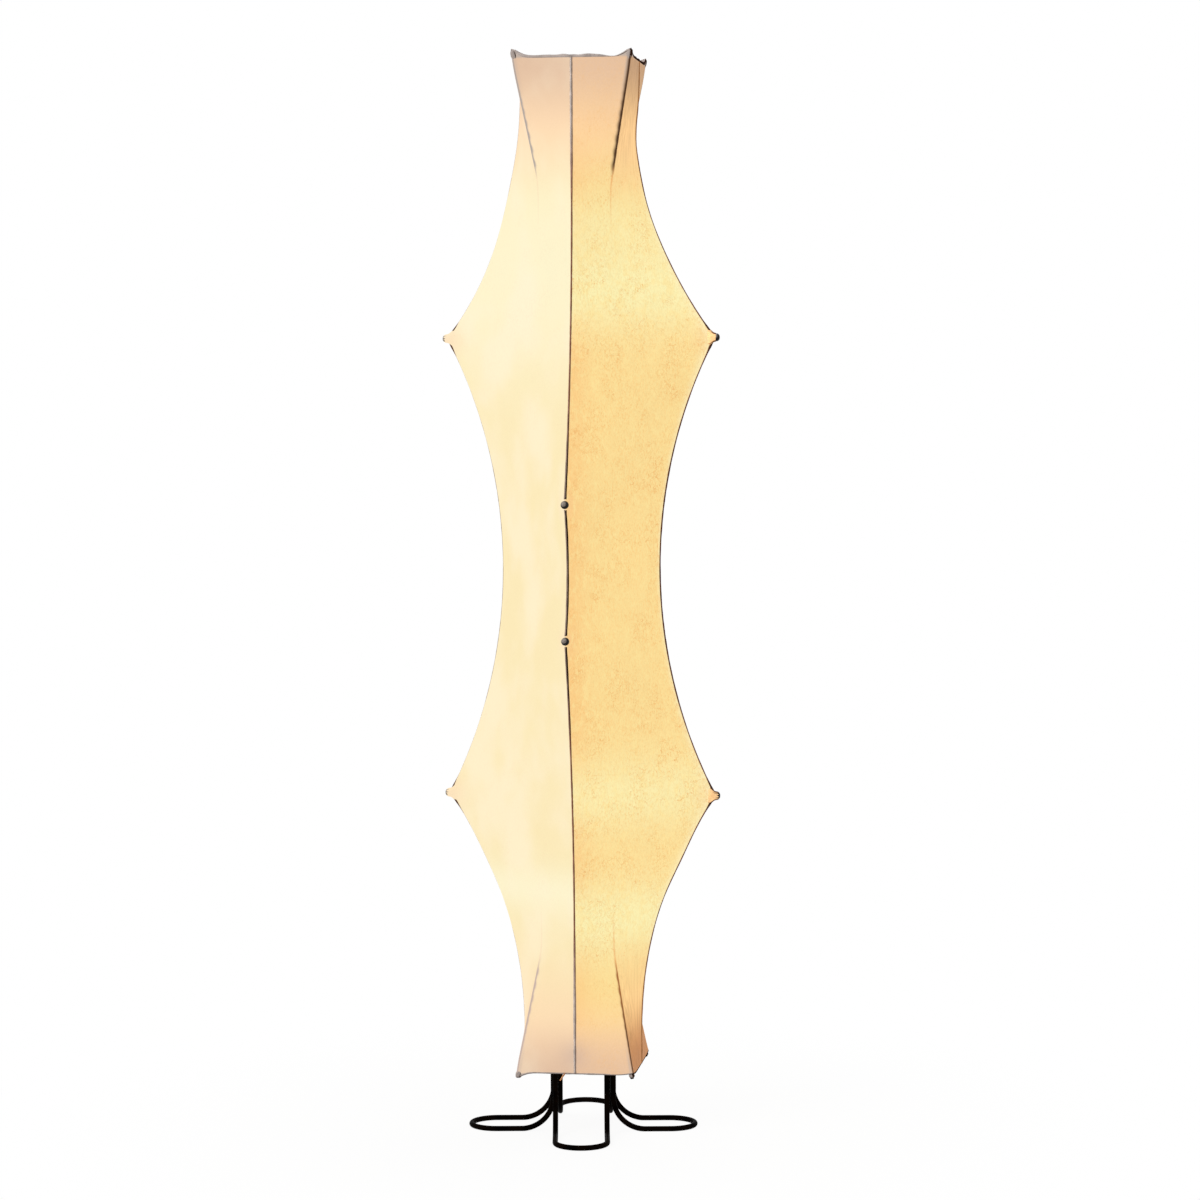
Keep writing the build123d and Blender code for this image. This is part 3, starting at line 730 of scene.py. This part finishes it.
def joined(name, meshes):
    """One mesh made of several."""
    bm = bmesh.new()
    for mesh in meshes:
        bm.from_mesh(mesh)
    merged = bpy.data.meshes.new(name)
    bm.to_mesh(merged)
    bm.free()
    return merged


# %% [markdown]
# ## Cloth of the piping and the bindings
# The piping and bindings are of one dark cloth. Where it turns to the room's light at the front
# left it is painted pale grey, a painted highlight. The piping is greyer near the rims, where no
# light comes through beside it, and darker where the side rods' ends gather it. The lamps alone
# are too soft to show this on such a thin line, so the colour itself depends on the way that the
# surface looks.

# %% Cloth of the piping and the bindings
front_left_up = (-0.78, -0.58, 0.22)


def bound(name, pale, dark, low, high, way=front_left_up, glowing=0.0):
    """Cloth painted pale where it looks one way, as lit by the room's light, and dark elsewhere."""
    material, wire, surface = new_material(name)
    place = wire.place()
    weave = place.noise(900.0, 2.0)
    worn = place.noise(90.0, 3.0)
    toward = facing(wire, way, low, high)
    colour = shaded(wire, toward.blend(dark, pale), worn.smooth(0.3, 0.7, 0.8, 1.15))
    feed(
        surface,
        Base_Color=colour,
        Emission_Color=colour,
        Emission_Strength=glowing,
        Roughness=0.85,
        Normal=weave.bump(0.5, 0.0004),
        Specular_IOR_Level=0.0,
    )
    return material


# painted highlight: the bindings are pale grey where they face the room's light at the front left
binding = bound("binding", rgb(174, 162, 156), rgb(52, 32, 23), 0.05, 0.6)
# painted shade: the right collars are dark brown, with painted light where they face the front and
# a faint painted glow
shaded_cuff = bound(
    "shaded_cuff", rgb(246, 200, 145), rgb(84, 46, 28), 0.5, 0.9, way=(0.0, -1.0, 0.0), glowing=0.3
)

dark_cloth, wire, surface = new_material("dark_cloth")
place = wire.place()
x, y, z = place.parts()
side = abs(x).smooth(0.04, 0.07)
outer = z.smooth(0.17, 0.30, 1.0, 0.0) + z.smooth(1.30, 1.42)
inner = abs(z - waist).smooth(0.14, 0.26, 1.0, 0.0)
# painted highlight: pale where the piping faces the room's light at the front left
toward = facing(wire, front_left_up, 0.3, 0.85)
worn = place.noise(70.0, 3.0)
weave = place.noise(900.0, 2.0)
pale = outer.blend(inner.blend(rgb(172, 130, 108), rgb(156, 134, 120)), rgb(206, 193, 185))
edge = side.blend(rgb(150, 132, 122), rgb(168, 118, 76))
mid_dark = inner.blend(rgb(104, 58, 40), side.blend(rgb(38, 20, 11), rgb(92, 52, 32)))
dark = outer.blend(mid_dark, edge)
near_rod = [abs(z - rod).smooth(0.012, 0.03, 1.0, 0.0) for rod in side_rods]
at_tip = side * (near_rod[0] + near_rod[1])
pale = at_tip.blend(pale, rgb(96, 62, 46))
dark = at_tip.blend(dark, rgb(58, 32, 20))
feed(
    surface,
    Base_Color=shaded(wire, toward.blend(dark, pale), worn.smooth(0.3, 0.7, 0.8, 1.15)),
    Roughness=0.9,
    Normal=weave.bump(0.4, 0.0003),
    Specular_IOR_Level=0.0,
)
print(len(dark_cloth.node_tree.nodes), "nodes in the dark cloth")

# %% [markdown]
# ## Piping of the seams
# Each seam's piping comes in three lengths, with a gap at each rod end for the eyelet. It is
# stouter at the waist and the rims than between them, and the side seams' piping swells where it
# runs into the gathers of a knob. The left one is the thinnest, because in the photograph it is
# only a fine line. A curve with a round bevel would do too, but meshes join into one piece.

# %% Seam piping
seams = {"front": (0, -1), "right": (1, 0), "back": (0, 1), "left": (-1, 0)}
piping_radius = {"front": 0.0018, "right": 0.0017, "back": 0.0018, "left": 0.0010}
swell_at_rod = {"front": 1.0, "right": 1.5, "back": 1.0, "left": 2.2}
front_gap = 0.0066
side_gap = 0.004
from_waist_to_rim = [0.12, 0.25, 0.50, 0.60]
stoutness = [1.0, 0.72, 0.72, 1.15]
for side, (way_x, way_y) in seams.items():
    reach = side_seam(rows, way_x) if way_x else front_seam(rows)
    rods = side_rods if way_x else front_rods
    line = np.stack([way_x * reach, way_y * reach, rows], 1)
    clear = front_gap if way_y else side_gap
    runs = [
        line[rows < rods[0] - clear],
        line[(rows > rods[0] + clear) & (rows < rods[1] - clear)],
        line[rows > rods[1] + clear],
    ]
    tubes = []
    for run in runs:
        swell = np.interp(np.abs(run[:, 2] - waist), from_waist_to_rim, stoutness)
        from_rod = np.minimum(abs(run[:, 2] - rods[0]), abs(run[:, 2] - rods[1]))
        swell = swell * np.interp(from_rod, [0.012, 0.024], [swell_at_rod[side], 1.0])
        tubes.append(tube("run", run, piping_radius[side] * swell, unevenness=0.05))
    mesh = joined(f"{side}_seam_piping", tubes)
    new_piece(
        f"{side}_seam_piping", mesh, dark_cloth, nodes=(f"{side}_piping",)
    )
    print(side, "seam piping in", len(runs), "lengths")

# %% [markdown]
# ## Hem bands
# Each rim is bound with a narrow band of the same cloth. It wavers a little in height, and in
# front, between the seam and the right corner, it has almost slipped off the edge. The band
# follows the settled net's own edge, so that it never parts from the silk.

# %% Hem bands
round_the_rim = [("front_left", 1), ("front_right", -1), ("back_right", 1), ("back_left", -1)]
band_thickness = 0.0022
slip_centre = 0.057
slip_spread = 0.013


def rim_band(name, row, low, high, thickness):
    """A band of cloth round one rim, from low to high above the silk's edge."""
    path = np.concatenate([settled[q][row][::way][:-1] for q, way in round_the_rim])
    along = np.roll(path, -1, axis=0) - np.roll(path, 1, axis=0)
    outward = np.stack([along[:, 1], -along[:, 0], 0 * along[:, 0]], 1)
    outward /= np.linalg.norm(outward, axis=1, keepdims=True)
    step = np.arange(len(path))
    waver = 1 + 0.10 * np.sin(step * 0.37) + 0.08 * np.sin(step * 0.83 + 1)
    slipped = 1 - hump(path[:, 0], 0.8, slip_centre, slip_spread) * (path[:, 1] < 0)
    rings = []
    for angle in np.linspace(0, 2 * pi, 13):
        out = thickness / 2 * cos(angle)
        lift = (low + high) / 2 + (high - low) / 2 * sin(angle)
        lift = lift * (waver * slipped if lift > 0 else waver)
        rings.append(path + outward * out + np.array([[0, 0, 1]]) * np.reshape(lift, (-1, 1)))
    return grid_mesh(name, np.array(rings), closed=True)


top_band = rim_band("top_hem", -1, -0.0006, 0.0040, band_thickness)
new_piece("top_hem", top_band, binding, nodes=("top_rim_cord",))
bottom_band = rim_band("bottom_hem", 0, -0.0013, 0.0013, band_thickness)
new_piece("bottom_hem", bottom_band, binding, nodes=("bottom_rim_cord",))
print(len(top_band.polygons), "faces in a band")

# %% [markdown]
# ## Ears
# At the corners the bands run out into pockets, pulled like small ears over the ends of the corner
# arms. Each is a stack of pleated rings that closes in a dome. The lower ears are shorter than the
# upper ones, and those on the right are the shortest and slimmest. Pieces so small gain nothing
# from cloth simulation, so their rings are written out.

# %% Ears
ear_heights = [-0.007, -0.004, -0.001, 0.002, 0.004, 0.006, 0.0075, 0.0087, 0.0095, 0.01]
ear_radii = [0.0034, 0.0034, 0.0038, 0.0046, 0.0047, 0.0045, 0.0043, 0.0037, 0.0024, 0.0002]


def ear(name, way_x, way_y, rim, tip, seed, stout=1.0):
    """A pocket over the end of an arm: round, pleated, and closed in a dome at its tip."""
    up = 1 if tip > rim else -1
    heights = np.array(ear_heights) * abs(tip - rim) / ear_heights[-1]
    radii = np.array(ear_radii) * stout
    angles = np.linspace(0, 2 * pi, 25)[:-1]
    rings = []
    for height, radius in zip(heights, radii):
        z = rim + up * height
        reach = float(arm_reach(np.array(z))) / sqrt(2)
        pleats = 1 + 0.10 * np.sin(5 * angles + seed) * (0.011 - height) / 0.018
        rings.append(
            np.stack(
                [
                    way_x * reach + radius * pleats * np.cos(angles),
                    way_y * reach + radius * pleats * np.sin(angles),
                    z + 0.0004 * np.sin(3 * angles + seed),
                ],
                1,
            )
        )
    return grid_mesh(name, np.array(rings), flip=up < 0, closed=True)


ear_lengths = {"top": [0.0102] * 4, "bottom": [-0.0082, -0.0045, -0.0045, -0.0082]}
ear_stoutness = {"top": [1.0] * 4, "bottom": [1.0, 0.86, 0.86, 1.0]}
for level, rim in (("top", top_rim), ("bottom", bottom_rim)):
    meshes = [
        ear("ear", *ways, rim, rim + length, n * 1.3, stout)
        for n, (ways, length, stout) in enumerate(
            zip(quarters.values(), ear_lengths[level], ear_stoutness[level])
        )
    ]
    mesh = joined(f"{level}_ears", meshes)
    new_piece(
        f"{level}_ears", mesh, binding, nodes=(f"{level}_corner_pockets",)
    )
    print(len(meshes), "ears at the", level)

# %% [markdown]
# ## A tan strip
# A short tan strip hangs out below the front hem, left of the seam. It is a tube along four
# points, pressed flat, and painted pale where it faces the room's light.

# %% A tan strip
strip_cloth = bound("strip_cloth", rgb(232, 172, 122), rgb(176, 112, 70), -0.2, 0.5)
strip_line = [
    (-0.0140, -0.0836, 0.0912),
    (-0.0158, -0.0842, 0.0884),
    (-0.0180, -0.0840, 0.0850),
    (-0.0207, -0.0834, 0.0808),
]
tan_strip = tube("tan_strip", strip_line, 0.0012, sides=12, unevenness=0.08, squash=0.45)
new_piece("tan_strip", tan_strip, strip_cloth)
print("the tie hangs down to", strip_line[-1][2], "m")

# %% [markdown]
# ## Collars round the knobs
# At each side rod end the silk is gathered into a collar that hugs the knob. The left collars and
# the lower right one cover their knobs almost to the end, and the upper right one only to the
# knob's widest part. The left ones are of silk, and the right ones are painted as in shade: dark
# brown, with painted light where they face the front. They could be drawn out of the panels, but
# as pieces of their own they close round a knob that still turns in them.

# %% Collars round the knobs
def collar(name, tip, out, profile, seed):
    """A pleated sleeve round a rod end. The profile lists how far out, wide and tall it is."""
    upright = Vector((0, 0, 1))
    sideways = out.cross(upright)
    rings = []
    angles = np.linspace(0, 2 * pi, 37)[:-1]
    for along, wide, tall in profile:
        pleats = 1 + 0.05 * np.sin(9 * angles + seed) + 0.03 * np.sin(16 * angles + 2 * seed)
        ring = np.array(tip + out * along)[None] + (
            (wide * pleats * np.cos(angles))[:, None] * np.array(sideways)[None]
            + (tall * pleats * np.sin(angles))[:, None] * np.array(upright)[None]
        )
        rings.append(ring)
    return grid_mesh(name, np.array(rings), closed=True)


root = [(-0.0135, 0.0022, 0.0100), (-0.010, 0.0031, 0.0120), (-0.0065, 0.0041, 0.0110)]
neck = [(-0.0038, 0.0050, 0.0088), (-0.0015, 0.0057, 0.0069), (0.0004, 0.0060, 0.0061)]
half_way = root + neck + [(0.0019, 0.0059, 0.0059)]
nearly_all = half_way + [(0.0036, 0.0056, 0.0056), (0.0053, 0.0046, 0.0046)]
all_over = nearly_all + [(0.0064, 0.0032, 0.0032), (0.0070, 0.0014, 0.0014)]
for level, z, right_profile in zip(("lower", "upper"), side_rods, (nearly_all, half_way)):
    for side, way, profile, cuff in (
        ("left", -1, all_over, silk),
        ("right", 1, right_profile, shaded_cuff),
    ):
        out = Vector((way, 0, 0))
        mesh = collar(f"{side}_{level}_collar", Vector((way * side_tip, 0, z)), out, profile, z * 7)
        new_piece(f"{side}_{level}_collar", mesh, cuff)
        print(side, level, "collar of", len(profile), "rings")

# %% [markdown]
# ## Painted and moulded finishes
# The feet, arms and rods are black painted bar. The paint is satin, with a faint orange peel and a
# warm tone where it is thin. The inner parts get plain finishes of their own, as they show through
# the open top and bottom.

# %% Finishes of the solids
def finish(name, dark, light, roughness, metallic=0.0, grain=300.0, depth=0.0002, shine=0.5):
    """A finish with a mottled colour and a grain that catches the light."""
    material, wire, surface = new_material(name)
    place = wire.place()
    mottle = place.noise(45.0, 4.0)
    fine = place.noise(grain, 2.0)
    feed(
        surface,
        Base_Color=mottle.smooth(0.35, 0.65).blend(dark, light),
        Roughness=mottle.smooth(0.3, 0.7, roughness * 0.85, roughness * 1.15),
        Metallic=metallic,
        Normal=fine.bump(0.4, depth),
        Specular_IOR_Level=shine,
    )
    return material


finishes = {
    "black_paint": finish(
        "black_paint", rgb(2, 1, 1), rgb(13, 7, 4), 0.4, depth=0.00006, shine=0.004
    ),
    "white_paint": finish("white_paint", rgb(214, 210, 200), rgb(228, 225, 216), 0.4),
    "black_plastic": finish("black_plastic", rgb(26, 25, 25), rgb(34, 33, 32), 0.55),
    "plated_steel": finish("plated_steel", rgb(178, 176, 170), rgb(196, 194, 188), 0.3, 1.0),
    "holder_plastic": finish("holder_plastic", rgb(216, 212, 202), rgb(226, 223, 214), 0.45),
    "bulb_cap": finish("bulb_cap", rgb(190, 190, 192), rgb(208, 208, 210), 0.28, 1.0),
    "lead_sheath": finish("lead_sheath", rgb(205, 202, 194), rgb(214, 211, 204), 0.5),
    "dark_piping": dark_cloth,
    "pocket_cloth": dark_cloth,
}
print(len(finishes), "finishes")

# %% [markdown]
# ## Knobs and bulb glass
# The knobs are black, with a painted highlight of the room's light on the side that looks to the
# front and a little up.
# The bulbs' glass is frosted and glows.

# %% Knobs and bulb glass
knob, wire, surface = new_material("knob_black")
scuffs = wire.place().noise(600.0, 3.0)
# painted highlight: pale on the side that looks to the front and a little up
painted_highlight = facing(wire, (-0.36, -0.84, 0.40), 0.62, 0.98)
knob_colour = painted_highlight.blend(rgb(12, 7, 5), rgb(146, 136, 128))
feed(
    surface,
    Base_Color=shaded(wire, knob_colour, scuffs.smooth(0.3, 0.7, 0.8, 1.2)),
    Roughness=scuffs.smooth(0.3, 0.7, 0.25, 0.4),
    Specular_IOR_Level=0.15,
)
finishes["knob_black"] = knob

glass, wire, surface = new_material("frosted_glass")
frost = wire.place().noise(800.0, 2.0)
feed(
    surface,
    Base_Color=frost.smooth(0.2, 0.8).blend(rgb(206, 196, 176), rgb(220, 211, 192)),
    Roughness=frost.smooth(0.3, 0.7, 0.45, 0.6),
    Emission_Color=frost.smooth(0.2, 0.8).blend(rgb(255, 240, 210), rgb(255, 246, 222)),
    Emission_Strength=0.38,
)
finishes["frosted_glass"] = glass
print("the glass glows at", surface.inputs["Emission Strength"].default_value)

# %% [markdown]
# ## Finishes onto the solids
# Every solid names a slot, and the slot picks its finish. The plain silk panels have none of
# these slots, since the panels of the net stand in their place.

# %% Finishes onto the solids
slots = {part["node"]: part["material_slot"] for part in frame["record"]["subparts"]}
for name, node in frame["nodes"].items():
    if slots[name] in finishes:
        node.data.materials.clear()
        node.data.materials.append(finishes[slots[name]])
print(sum(slot in finishes for slot in slots.values()), "solids finished")

# %% [markdown]
# ## Room and light
# The lamp stands on a plain white floor in soft studio light. To the camera the floor and the
# world are white, and the floor still takes the lamp's shadow.

# %% Floor
def in_sight(wire):
    """1 for what the camera sees, also mirrored or through something, and 0 for other light."""
    direct, mirrored, through = (wire.node("LightPath", output=i) for i in (0, 3, 6))
    return (direct + mirrored + through).clamped()


floor_mesh = bpy.data.meshes.new("floor")
half = 30
floor_mesh.from_pydata(
    [(-half, -half, 0), (half, -half, 0), (half, half, 0), (-half, half, 0)], [], [(0, 1, 2, 3)]
)
floor = bpy.data.objects.new("floor", floor_mesh)
bpy.context.scene.collection.objects.link(floor)
white, wire, surface = new_material("white_floor")
feed(surface, Base_Color=rgb(238, 237, 235), Roughness=0.9, Specular_IOR_Level=0.0)
seen = in_sight(wire)
shine = wire.node("Emission", None, {"Color": (1, 1, 1, 1), "Strength": 1.0})
distance = wire.node("VectorMath", {"operation": "LENGTH"}, {0: wire.place()}, output=1)
shadow_share = distance.smooth(0.15, 0.9, 0.93, 1.0)
lit_floor = Wire(wire.tree, surface.outputs[0])
mixed = wire.node("MixShader", None, {0: seen * shadow_share, 1: lit_floor, 2: shine})
wire.tree.links.new(mixed.socket, wire.tree.nodes["Material Output"].inputs["Surface"])
floor_mesh.materials.append(white)
print("the floor is", 2 * half, "m wide")

# %% [markdown]
# ## World and lamps
# The world looks fully white and lights the lamp with less than half of that, because more would
# wash out the silk's own glow. Three square lamps add the main light from the front left, a
# weaker one from the right, and one from above.

# %% World and lamps
world_light = 0.45
world = bpy.data.worlds.new("studio")
bpy.context.scene.world = world
world.use_nodes = True
strength = world_light + in_sight(Wire(world.node_tree)) * (1 - world_light)
feed(world.node_tree.nodes["Background"], Strength=strength, Color=(1, 1, 1, 1))


def soft_box(name, spot, target, size, power):
    """A square lamp at a spot, facing a target."""
    light = bpy.data.objects.new(name, bpy.data.lights.new(name, "AREA"))
    light.data.shape = "SQUARE"
    light.data.size = size
    light.data.energy = power
    light.location = spot
    light.rotation_euler = (Vector(target) - Vector(spot)).to_track_quat("-Z", "Y").to_euler()
    bpy.context.scene.collection.objects.link(light)


soft_box("key", (-2.6, -2.6, 2.6), (0, 0, 0.8), 1.8, 70)
soft_box("fill", (2.8, -2.2, 1.8), (0, 0, 0.6), 1.8, 25)
soft_box("top", (0.3, 0.6, 3.4), (0, 0, 0.5), 1.6, 40)
print(len(bpy.data.lights), "lamps")

# %% [markdown]
# ## Closing
# The view is set to Standard, so that colours show as they are written.

# %% The end
bpy.context.scene.view_settings.view_transform = "Standard"
